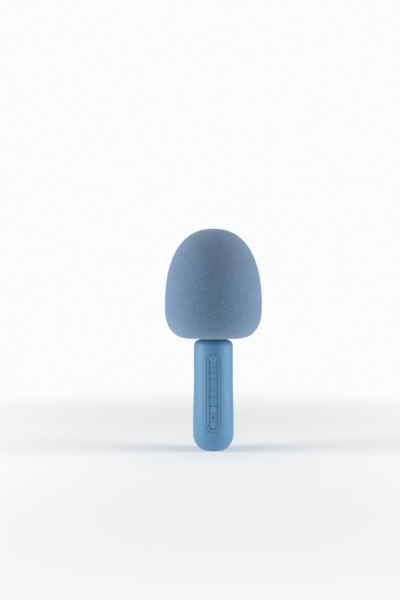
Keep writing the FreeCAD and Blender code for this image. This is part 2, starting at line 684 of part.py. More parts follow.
def control_strip():
    """The insert: a low edge, a face flush with the grip, and a raised rim round a sunk floor."""
    rim_width = STRIP_FLOOR_WIDTH + 2 * STRIP_RIM_WIDTH
    body = joined([
        strip_layer(STRIP_WIDTH, STRIP_EDGE_DEPTH),
        strip_layer(STRIP_WIDTH - 2 * STRIP_EDGE_WIDTH, 0),
        strip_layer(rim_width, -STRIP_RIM_PROUD),
    ])
    sunk = strip_layer(STRIP_FLOOR_WIDTH, -1).cut(grip(STRIP_FLOOR_DEPTH))
    holes = [rod_y(KEY_RADIUS + SLIP, -FAR, 0, 0, z) for z in KEY_Z.values()]
    return body.cut([sunk, rod_y(LIGHT_RADIUS + GLUE / 2, -FAR, 0, 0, LIGHT_Z)] + holes)


def status_light():
    """A clear rod from the strip's floor to the lamp on the board."""
    face = grip_radius(LIGHT_Z) - STRIP_FLOOR_DEPTH + 0.3
    rod = ring(LIGHT_RADIUS, 0, LAMP_HEIGHT + 0.5 - BOARD_FRONT_Y, face + BOARD_FRONT_Y - LAMP_HEIGHT - 0.5)
    rod = rod.makeFillet(0.3, [edge for edge in level_circles(rod) if edge.BoundBox.ZMin > face - 0.1])
    return placed(rod, 0, 0, LIGHT_Z, V(1, 0, 0), 90)


def controls():
    keep("control_strip", control_strip())
    keep("status_light", status_light())
    for name in KEY_Z:
        keep(name, key(name))
        end = PLUNGER_TIP_Y + PLUNGER_REACH + PLUNGER_BURIED
        keep(name.replace("_key", "_plunger"), rod_y(PLUNGER_RADIUS, PLUNGER_TIP_Y, end, 0, KEY_Z[name]))


# ---------------------------------------------------------------- boards and battery
def main_board():
    board = block(-BOARD_WIDTH / 2, BOARD_WIDTH / 2, BOARD_FRONT_Y, BOARD_BACK_Y, BOARD_FOOT_Z, BOARD_TOP_Z)
    hole = BOARD_SCREW[0] + HOLE_SLACK
    return board.cut([rod_y(hole, BOARD_FRONT_Y, BOARD_BACK_Y, x, z) for x, z in BOARD_SCREW_PLACES])


def switch(z):
    """A key switch's case, with the bore that its plunger moves in."""
    half, face = SWITCH_SIDE / 2, BOARD_FRONT_Y - SWITCH_HEIGHT
    case = block(-half, half, face, BOARD_FRONT_Y, z - half, z + half)
    return case.cut(rod_y(PLUNGER_RADIUS + SLIP, face, BOARD_FRONT_Y - 0.25, 0, z))


def on_board(size, z, lift=0.0):
    """A block on the main board's back, centred across it, with its foot at z."""
    width, depth, height = size
    y = BOARD_BACK_Y + lift
    return block(-width / 2, width / 2, y, y + depth, z, z + height)


def chip_with_legs():
    """The amplifier chip and its two rows of four legs."""
    width, _, height = CHIP_SIZE
    bodies = [on_board(CHIP_SIZE, CHIP_Z, 0.15)]
    for i in range(4):
        x = width * (i - 1.5) / 4
        for z in (CHIP_Z - 1.0, CHIP_Z + height):
            bodies.append(block(x - 0.2, x + 0.2, BOARD_BACK_Y, BOARD_BACK_Y + 0.6, z, z + 1.0))
    return bodies


def electronics():
    keep("main_board", main_board())
    keep("key_switches", [switch(z) for z in KEY_Z.values()])
    lamp = block(-0.8, 0.8, BOARD_FRONT_Y - LAMP_HEIGHT, BOARD_FRONT_Y, LIGHT_Z - 0.4, LIGHT_Z + 0.4)
    keep("status_lamp", lamp)
    keep("wireless_module", on_board(MODULE_SIZE, MODULE_Z))
    shield = on_board(SHIELD_SIZE, MODULE_Z + 1.0, MODULE_SIZE[1])
    corners = [edge for edge in shield.Edges if edge.BoundBox.YLength > SHIELD_SIZE[1] - 0.1]
    keep("wireless_shield", shield.makeFillet(0.4, corners))
    keep("amplifier_chip", chip_with_legs())
    keep("capacitors", [capacitor(x, z) for x, z in CAPACITORS])
    keep("wire_sockets", [socket(x, z) for x, z in SOCKETS.values()])
    one = screw(BOARD_SCREW, BOARD_SCREW_LENGTH)
    screws = [placed(one, x, BOARD_BACK_Y, z, V(1, 0, 0), -90) for x, z in BOARD_SCREW_PLACES]
    keep("board_screws", screws)


def socket(x, z):
    """A socket for two leads, open at its top."""
    width, depth, height = SOCKET_SIZE
    front, back = BOARD_BACK_Y + SOCKET_WALL, BOARD_BACK_Y + depth - SOCKET_WALL
    case = block(x - width / 2, x + width / 2, BOARD_BACK_Y, BOARD_BACK_Y + depth, z, z + height)
    inner = width / 2 - SOCKET_WALL
    return case.cut(block(x - inner, x + inner, front, back, z + 2 * SOCKET_WALL, z + height))


def capacitor(x, z):
    """A round can on a square foot."""
    half, lift = CAPACITOR_RADIUS + 0.1, BOARD_BACK_Y + 0.6
    foot = block(x - half, x + half, BOARD_BACK_Y, lift, z - half, z + half)
    return joined([foot, rod_y(CAPACITOR_RADIUS, lift, BOARD_BACK_Y + CAPACITOR_LENGTH, x, z)])


def battery():
    """The cell, and the foam pad that beds it against the rear shell between the cradle's ribs."""
    cell = ring(CELL_RADIUS, 0, CELL_FOOT_Z, CELL_LENGTH, 0, CELL_CENTRE_Y)
    keep("battery_cell", cell.makeFillet(CELL_EDGE, level_circles(cell)))
    foot = CELL_FOOT_Z + (CELL_LENGTH - PAD_LENGTH) / 2
    slab = block(-PAD_WIDTH / 2, PAD_WIDTH / 2, CELL_CENTRE_Y, FAR, foot, foot + PAD_LENGTH)
    pad = slab.common(grip(HANDLE_WALL + GLUE))
    keep("battery_pad", pad.cut(ring(CELL_RADIUS + GLUE, 0, 0, FAR, 0, CELL_CENTRE_Y)))


def charging():
    """The charge board with its chip, and the port at its rear edge."""
    half, front = CHARGE_BOARD_WIDTH / 2, CHARGE_BACK_Y - CHARGE_BOARD_DEPTH
    keep("charge_board", block(-half, half, front, CHARGE_BACK_Y, CHARGE_BOARD_Z, CHARGE_TOP_Z))
    keep("charging_chip", block(-2, 2, front + 3, front + 7, CHARGE_TOP_Z, CHARGE_TOP_Z + 1))
    back, floor = PORT_MOUTH_Y - PORT_LENGTH, PORT_MOUTH_Y - PORT_LENGTH + PORT_BACK_WALL
    shell = stadium(PORT_WIDTH, PORT_HEIGHT, back, PORT_MOUTH_Y, PORT_Z)
    hollow = stadium(PORT_WIDTH - 2 * PORT_WALL, PORT_HEIGHT - 2 * PORT_WALL, floor, PORT_MOUTH_Y, PORT_Z)
    keep("port_shell", shell.cut(hollow))
    x, z = TONGUE_WIDTH / 2, TONGUE_THICKNESS / 2
    keep("port_tongue", block(-x, x, floor, PORT_MOUTH_Y - 0.8, PORT_Z - z, PORT_Z + z))


# ---------------------------------------------------------------- head
def head_shells():
    """The foam cover, the cage it is stretched on and the base that closes it below."""
    mouth = ring(FOAM_MOUTH_RADIUS, 0, HEAD_FOOT_Z - 1, FOAM_THICKNESS + 2)
    keep("foam_cover", egg(0).cut([egg(FOAM_THICKNESS), mouth]))
    keep("speaker_cage", cage())
    keep("head_base", base())


def cage_windows():
    """The cage's rows of sound openings, and the small vents over the capsule."""
    cuts = []
    for low, high, width, count in CAGE_ROWS:
        z_from, z_to = BELLY_Z + CROWN_HEIGHT * low, BELLY_Z + CROWN_HEIGHT * high
        one = block(HEAD_RADIUS / 6, FAR, -width / 2, width / 2, z_from, z_to)
        cuts += turns(one, [360 / count * (i + 0.5) for i in range(count)])
    vent = ring(VENT_RADIUS, 0, CROWN_Z - 1, FAR, VENT_CIRCLE_RADIUS)
    return cuts + turns(vent, range(0, 360, 60)) + [ring(VENT_RADIUS, 0, CROWN_Z - 1, FAR)]


def cage():
    """The upper half of the head's core, with lugs for the head's screws and the capsule's collar."""
    outer = egg(CORE_OFFSET)
    skin = outer.cut(egg(CORE_OFFSET + CAGE_WALL)).common(ring(FAR, 0, BASE_RIM_Z, FAR))
    inset = CORE_OFFSET + BASE_WALL + SLIP
    lip = egg(inset - LIP_WALL).cut(egg(inset))
    lip = lip.common(ring(FAR, 0, BASE_RIM_Z - CAGE_LIP + SLIP, CAGE_LIP + 1))
    lug = ring(POST_RADIUS, 0, BAFFLE_TOP_Z, LUG_HEIGHT, POST_CIRCLE_RADIUS)
    web_top = BAFFLE_TOP_Z + LUG_HEIGHT
    web = block(POST_CIRCLE_RADIUS, HEAD_RADIUS, -LUG_WEB / 2, LUG_WEB / 2, BAFFLE_TOP_Z, web_top)
    lug = joined([lug, web]).common(egg(CORE_OFFSET + CAGE_WALL / 2))
    bore = CUP_RADIUS + SLIP
    collar = ring(bore + COLLAR_WALL, bore, CROWN_Z - COLLAR_DEPTH, COLLAR_DEPTH + CAGE_WALL / 2)
    body = joined([skin, lip, collar.common(outer)] + turns(lug, POST_ANGLES))
    hole = ring(HEAD_SCREW[0] + HOLE_SLACK, 0, BAFFLE_TOP_Z - 1, LUG_HEIGHT, POST_CIRCLE_RADIUS)
    return body.cut(cage_windows() + turns(hole, POST_ANGLES))


def dish():
    """The lower half of the head's core, with the plug that fills the foam's mouth."""
    outer = egg(CORE_OFFSET)
    bowl = outer.cut(egg(CORE_OFFSET + BASE_WALL)).common(ring(FAR, 0, 0, BASE_RIM_Z))
    rebate = egg(CORE_OFFSET + BASE_WALL - LIP_WALL).common(ring(FAR, 0, BASE_RIM_Z - CAGE_LIP, FAR))
    mouth = FOAM_MOUTH_RADIUS - SLIP
    plug = ring(mouth, 0, HEAD_FOOT_Z + BASE_RECESS, CORE_OFFSET + BASE_WALL - BASE_RECESS)
    return joined([bowl.cut(rebate), plug]).cut(ring(mouth - BASE_WALL, 0, HEAD_FOOT_Z + BASE_WALL, FAR))


def base():
    """The dish with its neck, the flange that the handle holds, and four hollow posts."""
    neck = ring(NECK_RADIUS, 0, FLANGE_Z, HEAD_FOOT_Z - FLANGE_Z + BASE_WALL)
    flange = ring(NECK_RADIUS + NECK_FLANGE_REACH, 0, FLANGE_Z, NECK_FLANGE_THICKNESS)
    flange = flange.common(grip(HANDLE_WALL + SLIP))
    post = ring(POST_RADIUS, 0, HEAD_FOOT_Z, BAFFLE_Z - HEAD_FOOT_Z, POST_CIRCLE_RADIUS)
    post = post.common(egg(CORE_OFFSET))
    body = joined([dish(), neck, flange] + turns(post, POST_ANGLES))
    x = NECK_KEY_WIDTH / 2 + SLIP
    slot = block(-x, x, NECK_RADIUS, FAR, FLANGE_Z, FLANGE_Z + NECK_FLANGE_THICKNESS)
    bore = ring(NECK_BORE_RADIUS, 0, FLANGE_Z, HEAD_FOOT_Z + BASE_WALL - FLANGE_Z)
    hole = ring(HEAD_SCREW[0] + HOLE_SLACK, 0, HEAD_FOOT_Z, FAR, POST_CIRCLE_RADIUS)
    well = ring(HEAD_SCREW[1] + SLIP, 0, HEAD_FOOT_Z, HEAD_SCREW_Z - HEAD_FOOT_Z, POST_CIRCLE_RADIUS)
    return body.cut([slot, bore] + turns(hole, POST_ANGLES) + turns(well, POST_ANGLES))


def baffle():
    """The plate that carries the driver, clamped between the base's posts and the cage's lugs."""
    plate = ring(FAR, 0, BAFFLE_Z, BAFFLE_THICKNESS).common(egg(CORE_OFFSET + BASE_WALL + 3 * SLIP))
    post_hole = ring(HEAD_SCREW[0] + HOLE_SLACK, 0, BAFFLE_Z, BAFFLE_THICKNESS, POST_CIRCLE_RADIUS)
    ear_hole = ring(SPEAKER_SCREW[0] + HOLE_SLACK, 0, BAFFLE_Z, BAFFLE_THICKNESS, EAR_CENTRE_RADIUS)
    opening = ring(BASKET_TOP_RADIUS + 3 * SLIP, 0, BAFFLE_Z, BAFFLE_THICKNESS)
    lead_hole = ring(LEAD_HOLE_RADIUS, 0, BAFFLE_Z, BAFFLE_THICKNESS, 0, LEAD_HOLE_Y)
    return plate.cut([opening, lead_hole] + turns(post_hole, POST_ANGLES) + turns(ear_hole, EAR_ANGLES))


def speaker():
    """The driver, from its frame and magnet to its moving cone."""
    keep("speaker_frame", speaker_frame())
    keep("speaker_top_plate", ring(PLATE_RADIUS, GAP_OUTER_RADIUS, TOP_PLATE_Z, TOP_PLATE_THICKNESS))
    keep("speaker_magnet", ring(MAGNET_RADIUS, GAP_OUTER_RADIUS + 0.8, MAGNET_Z, MAGNET_THICKNESS))
    back_plate = ring(PLATE_RADIUS, 0, BACK_PLATE_Z, BACK_PLATE_THICKNESS)
    pole = ring(POLE_RADIUS, 0, BACK_PLATE_Z, TOP_PLATE_Z + TOP_PLATE_THICKNESS - BACK_PLATE_Z)
    keep("speaker_yoke", joined([back_plate, pole]))
    keep("voice_coil", voice_coil())
    keep("speaker_cone", cone())
    keep("dust_cap", dome_shell(FORMER_OUTER, CAP_HEIGHT, CAP_WALL, FORMER_TOP_Z + GLUE))
    keep("cone_surround", surround())
    keep("cone_spider", spider())
    outer, inner = SPEAKER_RIM_RADIUS - 0.8, BASKET_TOP_RADIUS + 0.6
    keep("speaker_gasket", ring(outer, inner, RIM_TOP_Z + SURROUND_WALL, GASKET_THICKNESS))
    x, depth, z = TERMINAL_SIZE[0] / 2, TERMINAL_SIZE[1], TERMINAL_SIZE[2] / 2
    strip = block(-x, x, TERMINAL_Y, TERMINAL_Y + depth, TERMINAL_Z - z, TERMINAL_Z + z)
    keep("speaker_terminals", strip)
    one = placed(screw(SPEAKER_SCREW, SPEAKER_SCREW_LENGTH), EAR_CENTRE_RADIUS, 0, RIM_TOP_Z)
    keep("speaker_screws", turns(one, EAR_ANGLES))


def voice_coil():
    """A thin tube up to the dust cap, with its winding in the magnet's gap."""
    foot = COIL_MIDDLE_Z - WINDING_LENGTH / 2
    former = ring(FORMER_OUTER, FORMER_OUTER - FORMER_WALL, foot - 0.6, FORMER_TOP_Z - foot + 0.6)
    return joined([former, ring(FORMER_OUTER + WINDING_WALL, FORMER_OUTER, foot, WINDING_LENGTH)])


def cone():
    neck = FORMER_OUTER + GLUE / 2
    return lathe_points([
        (neck, CONE_NECK_Z),
        (neck + 0.5, CONE_NECK_Z),
        (CONE_RADIUS, CONE_RIM_Z - CONE_WALL),
        (CONE_RADIUS, CONE_RIM_Z),
        (CONE_RADIUS - 0.6, CONE_RIM_Z),
        (neck, CONE_NECK_Z + 0.9),
    ])


def dome_shell(radius, height, wall, z):
    """A thin spherical cap, open below."""
    big = (radius ** 2 + height ** 2) / (2 * height)
    centre = V(0, 0, z + height - big)
    shell = Part.makeSphere(big, centre).cut(Part.makeSphere(big - wall, centre))
    return shell.common(ring(FAR, 0, z, FAR))


def surround():
    """A half-roll between the cone's rim and the frame, with a flat landing on the frame's rim."""
    z, wall = RIM_TOP_Z, SURROUND_WALL
    inner, outer = CONE_RADIUS + GLUE, BASKET_TOP_RADIUS - BASKET_WALL - 2 * GLUE
    mid, roll = (inner + outer) / 2, (outer - inner) / 2
    land, base, lip = SPEAKER_RIM_RADIUS - 0.8, z + wall, CONE_RIM_Z - 0.4
    edges = [
        line((land, z), (land, base)),
        line((land, base), (mid + roll, base)),
        half_ring(mid, base, roll, False),
        line((mid - roll, base), (mid - roll, lip)),
        line((mid - roll, lip), (mid - roll + wall, lip)),
        line((mid - roll + wall, lip), (mid - roll + wall, base)),
        half_ring(mid, base, roll - wall, True),
        line((mid + roll - wall, base), (mid + roll - wall, z)),
        line((mid + roll - wall, z), (land, z)),
    ]
    return lathe(edges)


def half_ring(x, z, radius, outwards):
    """The upper half of a circle about (x, z)."""
    side = -radius if outwards else radius
    return Part.Arc(V(x + side, 0, z), V(x, 0, z + radius), V(x - side, 0, z)).toShape()


def spider():
    """A flat corrugated ring that centres the coil."""
    inner, outer = FORMER_OUTER + GLUE, BASKET_FOOT_RADIUS - BASKET_WALL - 2 * GLUE
    steps = 2 * SPIDER_WAVES
    pitch = (outer - inner) / steps
    lower = [(inner + i * pitch, SPIDER_Z + (SPIDER_WAVE if i % 2 else 0.0)) for i in range(steps + 1)]
    return lathe_points(lower + [(x, z + SPIDER_WALL) for x, z in reversed(lower)])


def speaker_frame():
    """The pressed basket: a rim with four ears, windowed sides and a floor on the top plate."""
    foot, rim, wall, hole = BASKET_FOOT_Z, BAFFLE_TOP_Z, BASKET_WALL, GAP_OUTER_RADIUS + 0.3
    body = lathe_points([
        (hole, foot - wall),
        (BASKET_FOOT_RADIUS, foot - wall),
        (BASKET_TOP_RADIUS, rim),
        (SPEAKER_RIM_RADIUS, rim),
        (SPEAKER_RIM_RADIUS, RIM_TOP_Z),
        (BASKET_TOP_RADIUS - wall, RIM_TOP_Z),
        (BASKET_TOP_RADIUS - wall, rim),
        (BASKET_FOOT_RADIUS - wall, foot),
        (hole, foot),
    ])
    ear = ring(EAR_RADIUS, 0, rim, SPEAKER_RIM_THICKNESS, EAR_CENTRE_RADIUS)
    arm = block(BASKET_TOP_RADIUS, EAR_CENTRE_RADIUS, -EAR_RADIUS, EAR_RADIUS, rim, RIM_TOP_Z)
    inside = BASKET_FOOT_RADIUS - wall
    ledge = ring(inside, inside - 1.6, foot, SPIDER_RISE - GLUE / 2)
    body = joined([body, ledge] + turns(ear, EAR_ANGLES) + turns(arm, EAR_ANGLES))
    x = BASKET_WINDOW_WIDTH / 2
    window = block(BASKET_FOOT_RADIUS - 3, BASKET_TOP_RADIUS + 3, -x, x, foot + 1.6, rim - 1.2)
    screw_hole = ring(SPEAKER_SCREW[0] + HOLE_SLACK, 0, rim, SPEAKER_RIM_THICKNESS, EAR_CENTRE_RADIUS)
    return body.cut(turns(window, POST_ANGLES) + turns(screw_hole, EAR_ANGLES))


def head_screws():
    """Long screws from under the foam, through the posts and the baffle, into the cage's lugs."""
    length = BAFFLE_TOP_Z + LUG_HEIGHT - 2.0 - HEAD_SCREW_Z
    one = placed(screw(HEAD_SCREW, length), POST_CIRCLE_RADIUS, 0, HEAD_SCREW_Z, V(1, 0, 0), 180)
    keep("head_screws", turns(one, POST_ANGLES))


def microphone():
    """The capsule in its rubber boot, in a cup that pushes into the cage's collar."""
    passage = ring(LEAD_CHANNEL_RADIUS, 0, CUP_FOOT_Z, CAPSULE_FOOT_Z - CUP_FOOT_Z)
    cup = ring(CUP_RADIUS, 0, CUP_FOOT_Z, CUP_TOP_Z - CUP_FOOT_Z)
    brim = ring(CUP_RADIUS + COLLAR_WALL, 0, CROWN_Z - COLLAR_DEPTH - 1.2, 1.2)
    cup = joined([cup, brim]).cut([ring(BOOT_RADIUS, 0, BOOT_FOOT_Z, BOOT_LENGTH), passage])
    keep("capsule_cup", cup)
    boot = ring(BOOT_RADIUS, 0, BOOT_FOOT_Z, BOOT_LENGTH)
    seat = ring(CAPSULE_RADIUS, 0, CAPSULE_FOOT_Z, BOOT_LENGTH)
    keep("capsule_boot", boot.cut([seat, passage]))
    capsule = ring(CAPSULE_RADIUS, 0, CAPSULE_FOOT_Z, CAPSULE_LENGTH)
    keep("mic_capsule", capsule.makeFillet(0.4, level_circles(capsule)))
    felt = ring(BOOT_RADIUS, 0, CUP_TOP_Z + GLUE / 2, FAR).common(egg(CORE_OFFSET + CAGE_WALL + GLUE))
    keep("capsule_felt", felt)


# ---------------------------------------------------------------- leads, held inside all the way
def socket_mouth(name, index):
    """Where one of a socket's two leads comes out of its top."""
    x, z = SOCKETS[name]
    return V(x + (index - 0.5) * WIRE_PITCH, BOARD_BACK_Y + SOCKET_SIZE[1] / 2, z + SOCKET_SIZE[2])


def down_the_neck(x, name, index):
    """The last corners of a lead that comes through the neck and bends forward to its socket."""
    end = socket_mouth(name, index)
    y = NECK_BORE_RADIUS * 0.47
    return [
        (x, y, LEAD_CHANNEL_Z),
        (x, y, CASE_SCREW_Z[1] - 0.9),
        (end.x, end.y, end.z + 3.5),
        (end.x, end.y, end.z - WIRE_PITCH),
    ]


def mic_lead(index):
    """From the capsule down the cage's rear wall, through the baffle and under the magnet."""
    x = (index - 0.5) * 1.6
    neck_x = 4.4 + 1.6 * index
    route = [
        (x, 0, CAPSULE_FOOT_Z),
        (x, 0, CUP_FOOT_Z - 6),
        (x, LEAD_HOLE_Y - 4, BELLY_Z + 26),
        (x, LEAD_HOLE_Y, BELLY_Z + 12),
        (x, LEAD_HOLE_Y, BAFFLE_Z - 6),
        (x + 2, LEAD_HOLE_Y - 4, BAFFLE_Z - 14),
        (neck_x, MAGNET_RADIUS + 1.4, LEAD_CHANNEL_Z + 2.6),
        (neck_x, MAGNET_RADIUS - 3, LEAD_CHANNEL_Z),
    ]
    return route + down_the_neck(neck_x, "mic", index)


def speaker_lead(index):
    """From the terminals down past the magnet and under it."""
    x, outer = 6.0 * (index - 0.5), MAGNET_RADIUS + 2.2
    neck_x = -6.0 + 1.6 * index
    route = [
        (x, TERMINAL_Y + TERMINAL_SIZE[1], TERMINAL_Z),
        (x, outer, TERMINAL_Z),
        (x, outer, LEAD_CHANNEL_Z + 4),
        (neck_x, outer - 5, LEAD_CHANNEL_Z),
    ]
    return route + down_the_neck(neck_x, "speaker", index)


def battery_lead(index):
    """From one end of the cell round its side to the board: the foot's lead, then the top's."""
    end = socket_mouth("battery", index)
    side, tab_x, y = -(CELL_RADIUS + 2.2), -4.0, CELL_CENTRE_Y
    foot, top = CELL_FOOT_Z - 2.6, CELL_TOP_Z + 2.6
    if index:
        route = [
            (tab_x, y, CELL_TOP_Z),
            (tab_x, y, top),
            (side + 0.8, y - 7, top),
            (side + 0.8, y - 11, CELL_TOP_Z - 6),
        ]
    else:
        route = [
            (tab_x, y, CELL_FOOT_Z),
            (tab_x, y, foot),
            (side, y - 6, foot),
            (side - 1, y - 9, CELL_FOOT_Z + 30),
            (side + 0.9, y - 12, end.z + 2.4),
        ]
    return route + [(end.x, end.y, end.z + 3 + 3 * index), (end.x, end.y, end.z - WIRE_PITCH)]


def charge_lead(index):
    """Up from the charge board and forward to the main board's back."""
    x, y, z = 6.2 * (2 * index - 1), CHARGE_BACK_Y - CHARGE_BOARD_DEPTH + 2.5, CHARGE_TOP_Z + 3.4
    return [(x, y, CHARGE_TOP_Z), (x, y, z), (x, BOARD_BACK_Y, z)]


def leads():
    routes = {
        "mic_leads": mic_lead,
        "speaker_leads": speaker_lead,
        "battery_leads": battery_lead,
        "charge_leads": charge_lead,
    }
    for name, route in routes.items():
        keep(name, [tube(route(index), WIRE_RADIUS) for index in (0, 1)])


def main():
    handle()
    controls()
    electronics()
    battery()
    charging()
    head_shells()
    keep("baffle", baffle())
    speaker()
    head_screws()
    microphone()
    leads()
    os.makedirs("parts", exist_ok=True)
    for old in os.listdir("parts"):
        os.remove(os.path.join("parts", old))
    for name, shape in PARTS.items():
        for solid in shape.Solids:
            if not solid.isValid():
                raise ValueError(name + " has an invalid solid")
        shape.exportStep(os.path.join("parts", name + ".step"))
        print(name, len(shape.Solids), round(shape.Volume, 1))


main()
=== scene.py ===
"""A karaoke microphone's looks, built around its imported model.

The foam head is a fine mesh of its own, which stands for the CAD node foam_cover. Every other piece
is the CAD's, and gets a procedural material here. Lengths are in metres, in the frame of the model:
+Z runs up the microphone's axis and -Y out of the face that carries the keys.
"""

import math

import bpy
import numpy as np
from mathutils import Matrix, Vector, noise


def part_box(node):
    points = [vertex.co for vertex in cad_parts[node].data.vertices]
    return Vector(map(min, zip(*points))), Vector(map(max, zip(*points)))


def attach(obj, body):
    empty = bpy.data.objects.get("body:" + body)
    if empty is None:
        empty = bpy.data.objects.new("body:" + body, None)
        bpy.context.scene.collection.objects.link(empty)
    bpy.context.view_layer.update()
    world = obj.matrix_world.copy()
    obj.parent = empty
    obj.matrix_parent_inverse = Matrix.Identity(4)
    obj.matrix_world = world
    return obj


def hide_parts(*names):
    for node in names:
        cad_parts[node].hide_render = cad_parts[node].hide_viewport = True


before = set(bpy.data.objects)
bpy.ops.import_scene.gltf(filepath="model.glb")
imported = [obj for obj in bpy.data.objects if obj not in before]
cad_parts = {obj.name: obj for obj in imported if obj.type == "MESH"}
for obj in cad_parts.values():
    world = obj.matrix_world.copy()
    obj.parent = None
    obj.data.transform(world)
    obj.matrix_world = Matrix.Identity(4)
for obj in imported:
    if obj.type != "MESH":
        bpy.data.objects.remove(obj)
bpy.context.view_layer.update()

MM = 0.001

# ---------------------------------------------------------------- the foam head
OUTLINE_POWER = 2.36        # superellipse of the head's outline
BELLY_SHARE = 0.2857        # how far up the head its widest level is
BELLY_CURVE = 23.7 * MM     # width of the curve under the widest level
FOAM_THICKNESS = 5.0 * MM
MOUTH_LIP = 1.4 * MM        # radius of the rounding where the foam turns in under the head
MOUTH_GAP = 0.2 * MM
GRAIN = 0.56 * MM           # mesh spacing on the outer face
INNER_GRAIN = 2.4 * MM      # mesh spacing on the hidden inner face
PORE_SIZE = 1.15 * MM       # distance between open cells
PORE_DEPTH = 0.2 * MM
PORE_REACH = 0.45           # an open cell's radius as a share of the distance between cells
PORE_SHARE = 0.65           # the cells' share of the grain's depth; the rest is a rough surface
ROUGH_SIZE = 1.7 * PORE_SIZE
FLECK_SIZE = 1.6 * MM       # size of the paler and darker flecks in its colour
UNEVEN_SIZE = 9.0 * MM
UNEVEN_DEPTH = 0.12 * MM


def level_count(radius, spacing):
    """How many points a level of the mesh has."""
    return 1 if radius < spacing / 2 else max(6, int(round(2 * math.pi * radius / spacing)))


def outline(foot, top, radius, mouth):
    """The head's outline as closely spaced points (radius, height), from its pole to its mouth."""
    belly = foot + BELLY_SHARE * (top - foot)
    flat = radius - BELLY_CURVE
    points = []
    for a in np.linspace(math.pi / 2, 0, 400):
        across = radius * math.cos(a) ** (2 / OUTLINE_POWER)
        points.append((across, belly + (top - belly) * math.sin(a) ** (2 / OUTLINE_POWER)))
    for a in np.linspace(0, math.pi / 2, 300)[1:]:
        across = flat + BELLY_CURVE * max(0.0, math.cos(a)) ** (2 / OUTLINE_POWER)
        points.append((across, belly - (belly - foot) * math.sin(a) ** (2 / OUTLINE_POWER)))
    return [p for p in points if p[1] > belly or p[0] > mouth + MOUTH_LIP]


def lip(foot, mouth, rise):
    """The rounded edge of the foam's mouth and the short wall inside it."""
    centre = (mouth + MOUTH_LIP, foot + MOUTH_LIP)
    turn = np.linspace(-math.pi / 2, -math.pi, 10)
    arc = [(centre[0] + MOUTH_LIP * math.cos(a), centre[1] + MOUTH_LIP * math.sin(a)) for a in turn]
    return arc + [(mouth, foot + rise)]


def resampled(points, spacing):
    """Points at an even spacing along a run of points."""
    points = np.array(points)
    steps = np.linalg.norm(np.diff(points, axis=0), axis=1)
    along = np.concatenate([[0], np.cumsum(steps)])
    marks = np.linspace(0, along[-1], max(2, int(round(along[-1] / spacing)) + 1))
    return np.stack([np.interp(marks, along, points[:, k]) for k in (0, 1)], axis=1)


def ring_mesh(name, profile, spacings):
    """A turned mesh of near-equal triangles: each level has as many points as its girth asks for."""
    verts, rings = [], []
    for k, ((radius, height), spacing) in enumerate(zip(profile, spacings)):
        count = level_count(radius, spacing)
        start, shift = len(verts), 0.5 * (k % 2)
        for i in range(count):
            a = 2 * math.pi * (i + shift) / count
            verts.append((radius * math.cos(a), radius * math.sin(a), height))
        rings.append((start, count, shift))
    faces = []
    for upper, lower in zip(rings, rings[1:]):
        faces += stitched(upper, lower)
    mesh = bpy.data.meshes.new(name)
    mesh.from_pydata(verts, [], faces)
    mesh.validate()
    return mesh


def stitched(upper, lower):
    """Triangles between two levels that may differ in their number of points."""
    (start_a, count_a, shift_a), (start_b, count_b, shift_b) = upper, lower
    steps_a, steps_b = (count if count > 1 else 0 for count in (count_a, count_b))
    faces, i, j = [], 0, 0
    while i < steps_a or j < steps_b:
        next_a = (i + 1 + shift_a) / count_a if i < steps_a else math.inf
        next_b = (j + 1 + shift_b) / count_b if j < steps_b else math.inf
        a, b = start_a + i % count_a, start_b + j % count_b
        if next_a < next_b:
            i += 1
            faces.append((a, b, start_a + i % count_a))
        else:
            j += 1
            faces.append((a, b, start_b + j % count_b))
    return faces


def grain_depth(p):
    """How far the foam lies under its outline at a point, and how deep in an open cell the point is."""
    near = noise.voronoi(p / PORE_SIZE)[0][0]
    pore = max(0.0, 1.0 - near / PORE_REACH) ** 1.3
    rough = 0.5 + 0.5 * noise.noise(p / ROUGH_SIZE)
    uneven = 0.5 + 0.5 * noise.noise(p / UNEVEN_SIZE)
    grain = PORE_SHARE * pore + (1 - PORE_SHARE) * rough
    return PORE_DEPTH * grain + UNEVEN_DEPTH * uneven, pore


def foam_profile(foot, top, radius, mouth):
    """The outer and the inner face's profile, which together run from pole to pole."""
    outer = outline(foot, top, radius, mouth) + lip(foot, mouth, FOAM_THICKNESS)
    inner = outline(foot + FOAM_THICKNESS, top - FOAM_THICKNESS, radius - FOAM_THICKNESS, mouth)
    over_mouth = foot + 2 * FOAM_THICKNESS
    inner = [p for p in inner if p[0] > mouth + MOUTH_GAP or p[1] > over_mouth]
    return resampled(outer, GRAIN), resampled(inner[::-1], INNER_GRAIN)


def roughen(mesh, count, foot, mouth):
    """Sinks the grain into the first count vertices, and keeps how deep each is in an open cell."""
    co = np.array([v.co for v in mesh.vertices])
    normals = np.array([v.normal for v in mesh.vertices])
    pores = np.zeros(len(co), np.float32)
    for i in range(count):
        depth, pore = grain_depth(Vector(co[i]))
        co[i] -= normals[i] * depth * edge_fade(co[i], foot, mouth)
        pores[i] = pore
    mesh.vertices.foreach_set("co", co.astype(np.float32).ravel())
    mesh.attributes.new("pore", "FLOAT", "POINT").data.foreach_set("value", pores)


def foam_head():
    """The foam cover: a porous outer face, a rounded mouth under the head and a plain inner face."""
    low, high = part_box("foam_cover")
    foot, mouth = low.z, foam_mouth_radius()
    outer, inner = foam_profile(foot, high.z, (high.x - low.x) / 2, mouth)
    spacings = [GRAIN] * len(outer) + [INNER_GRAIN] * len(inner)
    mesh = ring_mesh("foam_head", np.vstack([outer, inner]), spacings)
    roughen(mesh, sum(level_count(radius, GRAIN) for radius, _ in outer), foot, mouth)
    mesh.shade_smooth()
    foam = bpy.data.objects.new("foam_head", mesh)
    bpy.context.scene.collection.objects.link(foam)
    return foam


